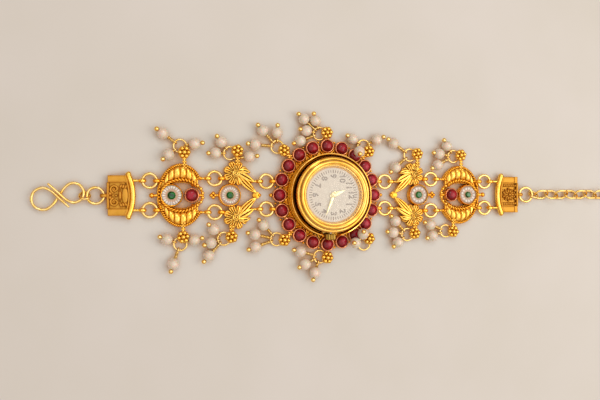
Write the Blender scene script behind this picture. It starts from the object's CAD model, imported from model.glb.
import math
import random

import bmesh
import bpy
from mathutils import Matrix, Vector


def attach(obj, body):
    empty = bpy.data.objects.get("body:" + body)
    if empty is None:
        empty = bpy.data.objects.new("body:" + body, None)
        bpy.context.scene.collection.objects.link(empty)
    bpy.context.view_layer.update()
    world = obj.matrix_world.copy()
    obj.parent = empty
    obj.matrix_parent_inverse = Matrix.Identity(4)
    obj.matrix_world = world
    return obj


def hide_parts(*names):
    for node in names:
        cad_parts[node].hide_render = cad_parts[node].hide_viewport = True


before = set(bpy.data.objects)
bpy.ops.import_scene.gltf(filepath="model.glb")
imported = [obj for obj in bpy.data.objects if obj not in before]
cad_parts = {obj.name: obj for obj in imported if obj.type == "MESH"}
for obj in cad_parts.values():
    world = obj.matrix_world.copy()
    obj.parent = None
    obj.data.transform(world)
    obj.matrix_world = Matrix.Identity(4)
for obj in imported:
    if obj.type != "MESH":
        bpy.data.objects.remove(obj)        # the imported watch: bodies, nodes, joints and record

mm = 0.001
scene = bpy.context.scene
grain = random.Random(11)
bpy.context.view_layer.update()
print("frame loaded:", len(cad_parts), "nodes")


# Colours and nodes

def linearColour(hexColour):
    shares = [int(hexColour[i:i + 2], 16) / 255 for i in (1, 3, 5)]
    return tuple(s / 12.92 if s <= 0.04045 else ((s + 0.055) / 1.055) ** 2.4 for s in shares) + (1.0,)


def addNode(tree, kind, settings=None, links=None):
    node = tree.nodes.new(kind)
    for key, value in (settings or {}).items():
        if isinstance(key, int) or key in node.inputs:
            node.inputs[key].default_value = value
        else:
            setattr(node, key, value)
    for key, socket in (links or {}).items():
        tree.links.new(socket, node.inputs[key])
    return node


def startMaterial(name, finish):
    material = bpy.data.materials.new(name)
    material.use_nodes = True
    tree = material.node_tree
    tree.nodes.clear()
    shader = addNode(tree, "ShaderNodeBsdfPrincipled", finish)
    addNode(tree, "ShaderNodeOutputMaterial", {}, {"Surface": shader.outputs["BSDF"]})
    place = addNode(tree, "ShaderNodeTexCoord").outputs["Object"]
    return material, tree, shader, place


def perMetre(sizeMm):
    return 1 / (sizeMm * mm)        # texture scale for a pattern of that real size


def cloudedTone(tree, place, sizeMm, first, second, span=(0.3, 0.7), detail=3):
    # two colours that drift into each other, and the cloud that parts them
    cloud = addNode(tree, "ShaderNodeTexNoise", {"Scale": perMetre(sizeMm), "Detail": detail},
                    {"Vector": place}).outputs["Fac"]
    share = addNode(tree, "ShaderNodeMapRange", {"From Min": span[0], "From Max": span[1]},
                    {"Value": cloud}).outputs["Result"]
    tone = addNode(tree, "ShaderNodeMix", {"data_type": "RGBA", 6: linearColour(first),
                                           7: linearColour(second)}, {0: share}).outputs[2]
    return tone, cloud


def hollowTone(tree, surface, deep, reachMm, span, alone=False):
    # another colour where something stands close round the surface
    hollow = addNode(tree, "ShaderNodeAmbientOcclusion", {"samples": 6, "only_local": alone,
                                                          "Distance": reachMm * mm}).outputs["AO"]
    openness = addNode(tree, "ShaderNodeMapRange", {"From Min": span[0], "From Max": span[1]},
                       {"Value": hollow}).outputs["Result"]
    return addNode(tree, "ShaderNodeMix", {"data_type": "RGBA", 6: linearColour(deep)},
                   {0: openness, 7: surface}).outputs[2]


def finishSkin(tree, shader, place, pitMm, pitDepth, strength, detail=2, cloud=None, rough=None):
    # a fine tooth of that grain and depth, and where a cloud is given, duller and glossier patches in it
    pits = addNode(tree, "ShaderNodeTexNoise", {"Scale": perMetre(pitMm), "Detail": detail}, {"Vector": place})
    bump = addNode(tree, "ShaderNodeBump", {"Strength": strength, "Distance": pitDepth * mm},
                   {"Height": pits.outputs["Fac"]})
    tree.links.new(bump.outputs["Normal"], shader.inputs["Normal"])
    if cloud:
        worn = addNode(tree, "ShaderNodeMapRange", {"From Min": 0.3, "From Max": 0.7, "To Min": rough[0],
                                                    "To Max": rough[1]}, {"Value": cloud})
        tree.links.new(worn.outputs["Result"], shader.inputs["Roughness"])


# Gilt finishes. Real pits and buffing marks are finer than these; they are as coarse as it takes to show

gilt = {
    "cast": {"tone": "#F6AA22", "pale": "#FFCA55", "deep": "#7E3600", "rough": (0.18, 0.34), "cloudMm": 0.9,
             "pitMm": 0.22, "pitDepth": 0.03, "creviceMm": 0.8, "open": (0.3, 0.85)},
    "bright": {"tone": "#FCC042", "pale": "#FFDE76", "deep": "#964A08", "rough": (0.16, 0.3), "cloudMm": 0.8,
               "pitMm": 0.25, "pitDepth": 0.015, "creviceMm": 0.55, "open": (0.32, 0.82)},
    "satin": {"tone": "#CC9638", "pale": "#DAA648", "deep": "#B4741E", "rough": (0.5, 0.6), "cloudMm": 1.4,
              "pitMm": 0.3, "pitDepth": 0.02, "creviceMm": 0.7, "open": (0.22, 0.72)},
    "polished": {"tone": "#F0B43E", "pale": "#FFD072", "deep": "#1C0D02", "rough": (0.06, 0.15), "cloudMm": 3.0,
                 "pitMm": 1.2, "pitDepth": 0.006, "creviceMm": 1.3, "open": (0.2, 0.62), "alone": True},
    "wire": {"tone": "#F9CF66", "pale": "#FFE8A6", "deep": "#8A4A08", "rough": (0.16, 0.3), "cloudMm": 1.6,
             "pitMm": 0.5, "pitDepth": 0.008, "creviceMm": 0.5, "open": (0.25, 0.75)},
    "sheet": {"tone": "#F6E5A2", "pale": "#FFF6D0", "deep": "#B98C34", "rough": (0.2, 0.3), "cloudMm": 1.0,
              "pitMm": 0.3, "pitDepth": 0.004, "creviceMm": 0.2, "open": (0.25, 0.85)},
    "rose": {"tone": "#EE8F5A", "pale": "#FFB98A", "deep": "#8E2F12", "rough": (0.2, 0.32), "cloudMm": 0.7,
             "pitMm": 0.22, "pitDepth": 0.02, "creviceMm": 0.5, "open": (0.25, 0.85)},
}


def giltMaterial(name, spec):
    material, tree, shader, place = startMaterial(name, {"Metallic": 1.0})
    surface, cloud = cloudedTone(tree, place, spec["cloudMm"], spec["tone"], spec["pale"])
    colour = hollowTone(tree, surface, spec["deep"], spec["creviceMm"], spec["open"], spec.get("alone", False))
    tree.links.new(colour, shader.inputs["Base Color"])
    finishSkin(tree, shader, place, spec["pitMm"], spec["pitDepth"], 0.5, 5, cloud, spec["rough"])
    return material


# Brass, lost-wax cast and gilded: glossy over soft pits, and brown-orange where it is deep
castGilt = giltMaterial("gilt cast brass", gilt["cast"])
# Brass, lost-wax cast, then burnished on its raised parts and gilded: paler faces between brown grooves
brightGilt = giltMaterial("gilt burnished brass", gilt["bright"])
# Brass, lost-wax cast, brushed to satin and gilded: soft and even, with tan hollows
satinGilt = giltMaterial("gilt satin brass", gilt["satin"])
# Brass, turned, buffed and gilded: mirror-like, slightly wavy, and almost black down in its grooves
polishedGilt = giltMaterial("gilt buffed brass", gilt["polished"])
# Brass, spun and gilded: the same polish, seen deep down beside the case
spunGilt = giltMaterial("gilt spun brass", dict(gilt["polished"], alone=False, open=(0.35, 0.9)))
# Brass, knurled and gilded thinly: a duller greenish gold, dark between its flutes and under the case
knurledGilt = giltMaterial("gilt knurled brass", dict(gilt["polished"], alone=False, open=(0.4, 1.0),
                                                      tone="#A07C30", pale="#C4A050"))
# Brass wire, drawn, bent and gilded: smooth and paler, with a soft sheen along its length
wireGilt = giltMaterial("gilt drawn wire", gilt["wire"])
# Thin brass sheet, stamped and flash gilded: pale, almost straw coloured
handGilt = giltMaterial("gilt stamped sheet", gilt["sheet"])
# Brass collars, cast and gilded: peach, because the metal picks up the red of the stone beside it
roseGilt = giltMaterial("rose gilt collar brass", gilt["rose"])
print("gilt finishes made")

# Stones, enamel and pearls

stones = {
    "rubyDeep": "#6A0510", "rubyLit": "#B41E38", "rubyPale": "#A10A1C", "rubyCloudMm": 0.8,
    "green": "#0B7F38", "greenDeep": "#03300F", "greenCloudMm": 0.9,
    "enamel": "#D0CAC4", "enamelLit": "#EDEAE6", "enamelVein": "#A08A76", "enamelHeart": "#C2A082",
    "enamelCloudMm": 0.8, "enamelPitMm": 0.25,
    "pearl": "#DDD3C4", "pearlGreen": "#D2CAB8", "pearlRose": "#DFCFC2", "pearlCloudMm": 2.2,
    "pearlRoseMm": 1.4, "pearlPitMm": 0.7,
}


def rubyMaterial():
    # Red glass cabochon, fire polished and foiled behind: a pink heart inside a dark crimson rim
    material, tree, shader, place = startMaterial("ruby glass cabochon", {
        "Roughness": 0.22, "IOR": 1.5, "Specular IOR Level": 0.35, "Coat Weight": 0.08, "Coat Roughness": 0.08,
        "Subsurface Weight": 0.08, "Subsurface Scale": 0.6 * mm})
    rim = addNode(tree, "ShaderNodeAttribute", {"attribute_name": "rim"}).outputs["Fac"]
    shade = addNode(tree, "ShaderNodeAttribute", {"attribute_name": "shade"}).outputs["Fac"]
    heart = addNode(tree, "ShaderNodeMix", {"data_type": "RGBA", 6: linearColour(stones["rubyPale"]),
                                            7: linearColour(stones["rubyLit"])}, {0: shade}).outputs[2]
    cloud = addNode(tree, "ShaderNodeTexNoise", {"Scale": perMetre(stones["rubyCloudMm"]), "Detail": 3},
                    {"Vector": place}).outputs["Fac"]
    drift = addNode(tree, "ShaderNodeMapRange", {"From Min": 0.3, "From Max": 0.7, "To Min": -0.3,
                                                 "To Max": 0.3}, {"Value": cloud}).outputs["Result"]
    cloudy = addNode(tree, "ShaderNodeMath", {"operation": "ADD"}, {0: rim, 1: drift}).outputs["Value"]
    edge = addNode(tree, "ShaderNodeMapRange", {"From Min": 0.15, "From Max": 0.95},
                   {"Value": cloudy}).outputs["Result"]
    colour = addNode(tree, "ShaderNodeMix", {"data_type": "RGBA", 7: linearColour(stones["rubyDeep"])},
                     {0: edge, 6: heart})
    tree.links.new(colour.outputs[2], shader.inputs["Base Color"])
    return material


def greenMaterial():
    # Green glass, cut with facets and polished: deep bottle green with sharp glints
    material, tree, shader, place = startMaterial("green cut glass", {
        "Roughness": 0.06, "IOR": 1.55, "Coat Weight": 0.4, "Coat Roughness": 0.03})
    tone = cloudedTone(tree, place, stones["greenCloudMm"], stones["greenDeep"], stones["green"],
                       (0.35, 0.65))[0]
    tree.links.new(tone, shader.inputs["Base Color"])
    return material


def enamelMaterial():
    # Pearly white enamel, poured and fired over a ribbed flower: grey-white rays, tan grooves and a peach heart
    material, tree, shader, place = startMaterial("pearly white enamel", {
        "Roughness": 0.22, "IOR": 1.5, "Coat Weight": 0.4, "Coat Roughness": 0.12, "Subsurface Weight": 0.15,
        "Subsurface Scale": 0.5 * mm})
    groove = addNode(tree, "ShaderNodeAttribute", {"attribute_name": "rim"}).outputs["Fac"]
    heart = addNode(tree, "ShaderNodeAttribute", {"attribute_name": "shade"}).outputs["Fac"]
    white = cloudedTone(tree, place, stones["enamelCloudMm"], stones["enamel"], stones["enamelLit"],
                        (0.35, 0.65))[0]
    lined = addNode(tree, "ShaderNodeMix", {"data_type": "RGBA", 7: linearColour(stones["enamelVein"])},
                    {0: groove, 6: white}).outputs[2]
    colour = addNode(tree, "ShaderNodeMix", {"data_type": "RGBA", 7: linearColour(stones["enamelHeart"])},
                     {0: heart, 6: lined}).outputs[2]
    tree.links.new(colour, shader.inputs["Base Color"])
    finishSkin(tree, shader, place, stones["enamelPitMm"], 0.02, 0.2)
    return material


def pearlMaterial():
    # Imitation pearl, glass dipped in pearl essence: off-white with a green and rose lustre under a gloss
    material, tree, shader, place = startMaterial("dipped glass pearl", {
        "Roughness": 0.3, "IOR": 1.53, "Coat Weight": 0.8, "Coat Roughness": 0.12, "Sheen Weight": 0.2,
        "Sheen Roughness": 0.4, "Subsurface Weight": 0.3, "Subsurface Scale": 1.0 * mm})
    cool = cloudedTone(tree, place, stones["pearlCloudMm"], stones["pearlGreen"], stones["pearl"],
                       (0.38, 0.62), 1)[0]
    blush = addNode(tree, "ShaderNodeTexNoise", {"Scale": perMetre(stones["pearlRoseMm"]), "Detail": 1},
                    {"Vector": place}).outputs["Fac"]
    roseShare = addNode(tree, "ShaderNodeMapRange", {"From Min": 0.5, "From Max": 0.75},
                        {"Value": blush}).outputs["Result"]
    colour = addNode(tree, "ShaderNodeMix", {"data_type": "RGBA", 7: linearColour(stones["pearlRose"])},
                     {0: roseShare, 6: cool}).outputs[2]
    tree.links.new(colour, shader.inputs["Base Color"])
    finishSkin(tree, shader, place, stones["pearlPitMm"], 0.02, 0.15)
    return material


rubyGlass = rubyMaterial()
greenGlass = greenMaterial()
whiteEnamel = enamelMaterial()
pearlGlass = pearlMaterial()
print("stones and pearls made")

# Watch materials, with their grain also coarser than real so that it shows

watchFinishes = {
    "dial": {"first": "#CECBC1", "second": "#D9D7CC", "cloudMm": 0.8, "pitMm": 0.3, "pitDepth": 0.0015,
             "rough": (0.45, 0.55), "shader": {"IOR": 1.5, "Coat Weight": 0.1, "Coat Roughness": 0.3}},
    "ink": {"first": "#6A615B", "second": "#817871", "cloudMm": 0.3, "pitMm": 0.4, "pitDepth": 0.004,
            "rough": (0.45, 0.55), "shader": {"IOR": 1.48}},
    "steel": {"first": "#B9B6B2", "second": "#D6D3CF", "cloudMm": 0.6, "pitMm": 0.12, "pitDepth": 0.006,
              "rough": (0.25, 0.4), "shader": {"Metallic": 1.0}},
    "nickel": {"first": "#BDB5A6", "second": "#D3CCBF", "cloudMm": 1.5, "pitMm": 0.3, "pitDepth": 0.004,
               "rough": (0.18, 0.3), "shader": {"Metallic": 1.0}},
    "acetal": {"first": "#E7E4DC", "second": "#F1EEE8", "cloudMm": 1.2, "pitMm": 0.5, "pitDepth": 0.01,
               "rough": (0.4, 0.55),
               "shader": {"IOR": 1.48, "Subsurface Weight": 0.1, "Subsurface Scale": 1 * mm}},
}


def evenMaterial(name, spec):
    material, tree, shader, place = startMaterial(name, spec["shader"])
    tone, cloud = cloudedTone(tree, place, spec["cloudMm"], spec["first"], spec["second"])
    tree.links.new(tone, shader.inputs["Base Color"])
    finishSkin(tree, shader, place, spec["pitMm"], spec["pitDepth"], 0.3, 4, cloud, spec["rough"])
    return material


# Brass blank, silvered and lacquered: a soft white with a fine silver grain
dialPaint = evenMaterial("silvered dial lacquer", watchFinishes["dial"])
# Pad-printed ink: warm dark grey and slightly raised
dialInk = evenMaterial("printed grey ink", watchFinishes["ink"])
# Stainless steel, lathe turned and brushed: grey with a soft bloom
brushedSteel = evenMaterial("brushed stainless steel", watchFinishes["steel"])
# Brass, nickel plated: bright and slightly warm
nickelPlate = evenMaterial("nickel plated brass", watchFinishes["nickel"])
# Acetal, moulded: milky white with a satin skin
mouldedAcetal = evenMaterial("moulded white acetal", watchFinishes["acetal"])


def crystalMaterial():
    # Mineral glass, ground and polished: clear, with only a faint reflection and fine hairlines
    material, tree, shader, place = startMaterial("polished mineral glass", {
        "Base Color": linearColour("#FFFFFF"), "IOR": 1.52, "Alpha": 0.06})
    cloud = addNode(tree, "ShaderNodeTexNoise", {"Scale": perMetre(2.5), "Detail": 3}, {"Vector": place})
    finishSkin(tree, shader, place, 4, 0.002, 0.05, 3, cloud.outputs["Fac"], (0.01, 0.04))
    return material


mineralGlass = crystalMaterial()
print("watch materials made")


# Mesh tools, all in millimetres

def turnPoint(radius, angle, z=0.0):
    return Vector((radius * math.cos(math.radians(angle)), radius * math.sin(math.radians(angle)), z))


def newShape():
    return {"points": [], "faces": []}


def skin(shape, rings, loop=False):
    # joins closed rings of points to one closed shell, and merges points that fall together
    count = len(rings[0])
    places = {}
    known = []
    for ring in rings:
        row = []
        for point in ring:
            key = (round(point[0], 4), round(point[1], 4), round(point[2], 4))
            if key not in places:
                places[key] = len(shape["points"])
                shape["points"].append(key)
            row.append(places[key])
        known.append(row)
    loops = []
    for low, high in zip(known, known[1:] + (known[:1] if loop else [])):
        for i in range(count):
            j = (i + 1) % count
            loops.append((low[i], low[j], high[j], high[i]))
    if not loop:
        loops += [tuple(reversed(known[0])), tuple(known[-1])]
    for face in loops:
        clean = [v for i, v in enumerate(face) if v != face[i - 1]]
        if len(set(clean)) == len(clean) > 2:
            shape["faces"].append(clean)


def turned(shape, profile, steps=96, matrix=None):
    place = matrix or Matrix()
    skin(shape, [[place @ turnPoint(r, 360 / steps * i, z) for r, z in profile] for i in range(steps)], True)


def tube(shape, points, radius, sides=10, loop=False):
    points = [Vector(p) for p in points]
    radii = list(radius) if isinstance(radius, (list, tuple)) else [radius] * len(points)
    if not loop:
        for end, inner in ((0, 1), (-1, -2)):
            away = (points[end] - points[inner]).normalized()
            r = radii[end]
            extra = [(points[end] + away * r * 0.6, r * 0.8), (points[end] + away * r * 0.9, r * 0.35)]
            if end == 0:
                points = [p for p, _ in reversed(extra)] + points
                radii = [s for _, s in reversed(extra)] + radii
            else:
                points = points + [p for p, _ in extra]
                radii = radii + [s for _, s in extra]
    count = len(points)
    rings = []
    normal = None
    for i in range(count):
        before = points[i - 1] if i or loop else points[0]
        after = points[(i + 1) % count] if i + 1 < count or loop else points[-1]
        run = (after - before).normalized()
        if normal is None:
            normal = run.cross(Vector((0, 0, 1)))
            if normal.length < 0.1:
                normal = run.cross(Vector((1, 0, 0)))
        normal = (normal - run * normal.dot(run)).normalized()
        side = run.cross(normal)
        rings.append([points[i] + (normal * math.cos(a) + side * math.sin(a)) * radii[i]
                      for a in (math.tau * k / sides for k in range(sides))])
    skin(shape, rings, loop)


def hoop(shape, centre, midR, wireR, axis="Z", turn=0, tilt=0, start=0, sweep=360, sides=10, steps=40):
    stand = {"Z": Matrix(), "Y": Matrix.Rotation(math.radians(90), 4, "X")}[axis]
    place = (Matrix.Translation(Vector(centre)) @ Matrix.Rotation(math.radians(turn), 4, "Z")
             @ Matrix.Rotation(math.radians(tilt), 4, "X") @ stand)
    whole = sweep >= 360
    count = steps if whole else max(4, int(steps * sweep / 360)) + 1
    parts = count if whole else count - 1
    points = [place @ turnPoint(midR, start + sweep * i / parts) for i in range(count)]
    tube(shape, points, wireR, sides, whole)


roundForms = {}        # unit spheres that the beads share, by their detail


def bead(shape, centre, radius, detail=12, stretch=(1, 1, 1), turn=0):
    if detail not in roundForms:
        unit = newShape()
        rows = max(6, detail * 2 // 3)
        skin(unit, [[turnPoint(math.sin(math.pi * k / rows), 360 / detail * i, -math.cos(math.pi * k / rows))
                     for k in range(rows + 1)] for i in range(detail)], True)
        roundForms[detail] = unit
    form = roundForms[detail]
    place = (Matrix.Translation(Vector(centre)) @ Matrix.Rotation(math.radians(turn), 4, "Z")
             @ Matrix.Diagonal((radius * stretch[0], radius * stretch[1], radius * stretch[2], 1)))
    base = len(shape["points"])
    shape["points"] += [tuple(place @ Vector(point)) for point in form["points"]]
    shape["faces"] += [[base + v for v in face] for face in form["faces"]]


def insetOutline(outline, inset, z):
    result = []
    count = len(outline)
    for i, (x, y) in enumerate(outline):
        before, after = Vector(outline[i - 1]), Vector(outline[(i + 1) % count])
        run = (after - before).normalized()
        result.append(Vector((x - run.y * inset, y + run.x * inset, z)))
    return result


def slab(shape, outline, low, high, soft=0.15):
    # an outline that runs anticlockwise, raised to a plate with rounded upper edges
    skin(shape, [insetOutline(outline, inset, z) for inset, z in
                 ((0, low), (0, high - soft), (soft * 0.3, high - soft * 0.3), (soft, high))])


def ovalOutline(x, y, a, b, turn=0, steps=28):
    place = Matrix.Rotation(math.radians(turn), 2)
    return [tuple(Vector((x, y)) + place @ Vector((a * math.cos(t), b * math.sin(t))))
            for t in (math.tau * i / steps for i in range(steps))]


def groovedLeaf(shape, spine, widths, low, top, grooves, depth=0.44, cutWide=0.15, across=28):
    # a crowned leaf with grooves and a sloping edge; spine and half widths run from root to tip
    count = len(spine)
    rings = []
    for i, (point, width) in enumerate(zip(spine, widths)):
        run = (spine[min(i + 1, count - 1)] - spine[max(i - 1, 0)]).normalized()
        side = Vector((-run.y, run.x, 0))
        t = i / (count - 1)
        reach = min(1, max(0, (0.86 - t) / 0.12)) * min(1, t / 0.1)
        ring = []
        for k in range(across + 1):
            v = math.sin(math.pi * (k / across - 0.5))
            cut = max(math.exp(-((v - groove) / cutWide) ** 2) for groove in grooves)
            crown = 0.36 * (1 - v * v) ** 0.4 * (1 - max(0, (t - 0.85) / 0.15) ** 2 * 0.8)
            ring.append(point + side * (v * width) + Vector((0, 0, top + crown - depth * cut * reach)))
        foot = Vector((0, 0, low))
        rings.append(ring + [point + side * width + foot, point - side * width + foot])
    skin(shape, rings)


def bend(start, middle, end, steps=14):
    # a smooth bow from start to end, drawn towards the middle point
    start, middle, end = Vector(start), Vector(middle), Vector(end)
    return [start * (1 - t) ** 2 + middle * (2 * t * (1 - t)) + end * t ** 2
            for t in (i / steps for i in range(steps + 1))]


def beadRow(shape, points, radius, detail=8):
    for point in points:
        bead(shape, point, radius * grain.uniform(0.94, 1.05), detail)


def finishPiece(name, shape, material, body, nodes=(), sharp=38, flip=False, flat=False):
    if flip:
        mirrorX(shape)
    mesh = bpy.data.meshes.new(name)
    mesh.from_pydata([Vector(point) * mm for point in shape["points"]], [], shape["faces"])
    bm = bmesh.new()
    bm.from_mesh(mesh)
    bmesh.ops.recalc_face_normals(bm, faces=bm.faces)
    bm.to_mesh(mesh)
    bm.free()
    for mark in ("rim", "shade"):
        if mark in shape:
            mesh.attributes.new(mark, "FLOAT", "POINT").data.foreach_set("value", shape[mark])
    mesh.materials.append(material)
    if not flat:
        mesh.shade_smooth()
        mesh.set_sharp_from_angle(angle=math.radians(sharp))
    piece = bpy.data.objects.new(name, mesh)
    scene.collection.objects.link(piece)
    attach(piece, body)
    if nodes:
        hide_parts(*nodes)


def mirrorX(shape):
    shape["points"] = [(-x, y, z) for x, y, z in shape["points"]]


def keepNode(node, material):
    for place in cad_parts[node].material_slots:
        place.material = material


# Camera at the photograph's angle, with its lens

camera = {"lens": 45.25, "sensor": 36.0, "distance": 254.71, "leanX": 0.256982, "leanY": -0.00028659,
          "roll": -0.0040340, "target": (-8.935, -1.640, 0.0)}


def placeCamera():
    leanX, leanY, roll = camera["leanX"], camera["leanY"], camera["roll"]
    back = Vector((-math.sin(leanX) * math.cos(leanY), -math.sin(leanY), math.cos(leanX) * math.cos(leanY)))
    right = (-back).cross(Vector((0, 1, 0))).normalized()
    up = right.cross(-back)
    rightRolled = math.cos(roll) * right + math.sin(roll) * up
    upRolled = -math.sin(roll) * right + math.cos(roll) * up
    lens = bpy.data.cameras.new("camera")
    lens.lens = camera["lens"]
    lens.sensor_width = camera["sensor"]
    lens.sensor_fit = "HORIZONTAL"
    lens.clip_start = 0.005
    lens.clip_end = 20
    view = bpy.data.objects.new("camera", lens)
    scene.collection.objects.link(view)
    turn = Matrix((rightRolled, upRolled, back)).transposed().to_4x4()
    where = (Vector(camera["target"]) + back * camera["distance"]) * mm
    view.matrix_world = Matrix.Translation(where) @ turn
    scene.camera = view


placeCamera()

# Studio: a pale warm table, a bright ceiling over warm walls, and a key light from the right

studio = {
    "floor": "#D0D1D0", "floorWarm": "#CBCCC8", "floorGlow": "#DCAE78", "glowMm": 3.2,
    "glowRange": (0.18, 0.76), "floorSize": 4.0, "floorZ": -0.01, "floorSteps": 8, "floorGrain": 1.5,
    "floorCloud": 48.0,
    "zenith": "#FFFDFA", "haze": "#C88C48", "horizon": "#74461A", "worldStrength": 1.1, "dark": (0.12, 0.5),
    "pale": (0.38, 0.86),
    "softboxes": [
        {"name": "key", "place": (240, -20, 300), "size": 320, "watts": 0.46, "tone": "#FFF6EA"},
        {"name": "fill", "place": (-220, -60, 300), "size": 90, "watts": 0.02, "tone": "#FFEEDC"},
        {"name": "top", "place": (-20, 190, 280), "size": 80, "watts": 0.09, "tone": "#FFF8F0"},
    ],
}


def boardMaterial():
    # Matte board, painted: pale, with a tooth drawn coarse enough to show, and warm where the gilt lights it
    material, tree, shader, place = startMaterial("painted board", {"IOR": 1.45, "Roughness": 0.75})
    board = cloudedTone(tree, place, studio["floorCloud"], studio["floor"], studio["floorWarm"])[0]
    colour = hollowTone(tree, board, studio["floorGlow"], studio["glowMm"], studio["glowRange"])
    tree.links.new(colour, shader.inputs["Base Color"])
    finishSkin(tree, shader, place, studio["floorGrain"], 0.01, 0.3, 4)
    return material


def placeStudio():
    bm = bmesh.new()
    half = studio["floorSize"] / 2 / mm
    step = studio["floorSteps"]
    rows = [[Vector((-half + 2 * half * i / step, -half + 2 * half * j / step, studio["floorZ"])) * mm
             for i in range(step + 1)] for j in range(step + 1)]
    made = [[bm.verts.new(p) for p in row] for row in rows]
    for j in range(step):
        for i in range(step):
            bm.faces.new((made[j][i], made[j][i + 1], made[j + 1][i + 1], made[j + 1][i]))
    mesh = bpy.data.meshes.new("table top")
    bm.to_mesh(mesh)
    bm.free()
    mesh.materials.append(boardMaterial())
    floor = bpy.data.objects.new("table_top", mesh)
    scene.collection.objects.link(floor)
    for box in studio["softboxes"]:
        lamp = bpy.data.lights.new(box["name"], "AREA")
        lamp.shape = "DISK"
        lamp.size = box["size"] * mm
        lamp.energy = box["watts"]
        lamp.color = linearColour(box["tone"])[:3]
        light = bpy.data.objects.new(box["name"], lamp)
        scene.collection.objects.link(light)
        light.location = Vector(box["place"]) * mm
        light.rotation_euler = (-Vector(box["place"])).to_track_quat("-Z", "Y").to_euler()
    world = bpy.data.worlds.new("studio")
    scene.world = world
    world.use_nodes = True
    tree = world.node_tree
    tree.nodes.clear()
    place = addNode(tree, "ShaderNodeTexCoord").outputs["Generated"]
    height = addNode(tree, "ShaderNodeSeparateXYZ", {}, {"Vector": place}).outputs["Z"]
    lowShare, highShare = (addNode(tree, "ShaderNodeMapRange", {"From Min": low, "From Max": high},
                                   {"Value": height}).outputs["Result"]
                           for low, high in (studio["dark"], studio["pale"]))
    warm = addNode(tree, "ShaderNodeMix", {"data_type": "RGBA", 6: linearColour(studio["horizon"]),
                                           7: linearColour(studio["haze"])}, {0: lowShare}).outputs[2]
    tone = addNode(tree, "ShaderNodeMix", {"data_type": "RGBA", 7: linearColour(studio["zenith"])},
                   {0: highShare, 6: warm}).outputs[2]
    glow = addNode(tree, "ShaderNodeBackground", {"Strength": studio["worldStrength"]}, {"Color": tone})
    addNode(tree, "ShaderNodeOutputWorld", {}, {"Surface": glow.outputs["Background"]})
    scene.view_settings.view_transform = "Standard"


placeStudio()
print("camera and studio placed")

# Heights that all the castings share

flatZ = {"plateLow": 0.45, "plateTop": 1.4, "castLow": 0.7, "castTop": 1.9, "link": 1.55, "drop": 1.0,
         "flower": 1.75}
eyes = {"midR": 0.95, "thick": 0.32, "halfWide": 0.6, "stubR": 0.46, "knobR": 0.66,
        "rowY": {1: 4.6, 2: 5.5, 3: 4.7}}        # each row's rings lie this far to either side
ballFlower = {"plate": [(0, 0), (1.45, 0), (1.65, 0.15), (1.45, 0.45), (0, 0.6)], "granules": 6, "outerR": 1.38,
              "granuleR": 0.78, "granuleZ": 0.52, "crownR": 0.82, "crownZ": 0.94, "seedR": 0.36,
              "seedCircleR": 1.72, "seedZ": 0.3, "eyeMidR": 0.62, "eyeWireR": 0.2, "eyeOffset": 0.3,
              "neckR": 0.4, "neckZ": 0.3, "budR": 0.52, "budSpread": 0.42, "budPitch": 0.95, "budRise": 0.2}


def linkEye(shape, x, y, solidX):
    # a stout band, bent to an eye that stands on edge, on a root with a knob
    z = flatZ["link"]
    root = x + math.copysign(eyes["midR"], solidX - x)
    rings = []
    for i in range(28):
        angle = math.tau * i / 28
        out = Vector((math.cos(angle), 0, math.sin(angle)))
        rings.append([Vector((x, y, z)) + out * (eyes["midR"] + eyes["thick"] * math.cos(turn))
                      + Vector((0, eyes["halfWide"] * math.sin(turn), 0))
                      for turn in (math.tau * k / 12 for k in range(12))])
    skin(shape, rings, True)
    tube(shape, [(root, y, z), ((root + solidX) / 2, y, z), (solidX, y, z)],
         [eyes["thick"] * 1.2, eyes["stubR"], eyes["stubR"] * 1.2], 10)
    bead(shape, ((root + solidX * 2) / 3, y, z), eyes["knobR"], 14)


def addBallFlower(shape, origin, heading, root):
    # six granules round a taller one, on a small plate with seeds at its edge, and a hidden eye under it
    x, y = origin
    z = flatZ["flower"]
    spec = ballFlower
    foot = Vector((x, y, 0))
    turned(shape, [(r, z + rise) for r, rise in spec["plate"]], 24, Matrix.Translation(foot))
    for i in range(spec["granules"]):
        angle = heading + 360 / spec["granules"] * i
        spot = foot + turnPoint(spec["outerR"], angle, z + spec["granuleZ"])
        bead(shape, spot, spec["granuleR"] * grain.uniform(0.95, 1.04), 12)
        seed = foot + turnPoint(spec["seedCircleR"], angle + 180 / spec["granules"], z + spec["seedZ"])
        bead(shape, seed, spec["seedR"], 8)
    bead(shape, (x, y, z + spec["crownZ"]), spec["crownR"], 14)
    tube(shape, [root, (x, y, z + spec["neckZ"])], spec["neckR"], 10)
    # pairs of buds along the neck
    neck = Vector((x, y, z + spec["neckZ"] + 0.05)) - Vector(root)
    side = Vector((-neck.y, neck.x, 0)).normalized()
    pairs = max(1, round((neck.length - spec["seedCircleR"]) / spec["budPitch"]))
    for k in range(pairs):
        for way in (-1, 1):
            spot = (Vector(root) + neck.normalized() * spec["budPitch"] * (k + 0.4)
                    + side * way * spec["budSpread"])
            bead(shape, spot + Vector((0, 0, spec["budRise"])), spec["budR"] * (1 - 0.12 * k), 12)
    eye = foot + turnPoint(spec["eyeOffset"], heading, flatZ["drop"])
    hoop(shape, eye, spec["eyeMidR"], spec["eyeWireR"], "Y", heading, sides=8, steps=24)


# Where each cluster of pearls hangs: its flower, the heading of its ring, and its drops.
# A drop has its angle on the ring, its heading, its lift and its reach

stations = {"headR": 21.1, "lotusX": 31.2, "lotusY": 7.2, "crescentX": 49.0, "crescentB": 10.3}
dropSizes = {"reach": 4.85, "ringMidR": 2.1, "ringWireR": 0.3, "pearlR": 1.9, "ballR": 0.8, "pinR": 0.25,
             "loopMidR": 0.7, "boreR": 0.3, "wrapR": 0.17, "wrapPitch": 0.37, "clear": 0.05}


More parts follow.
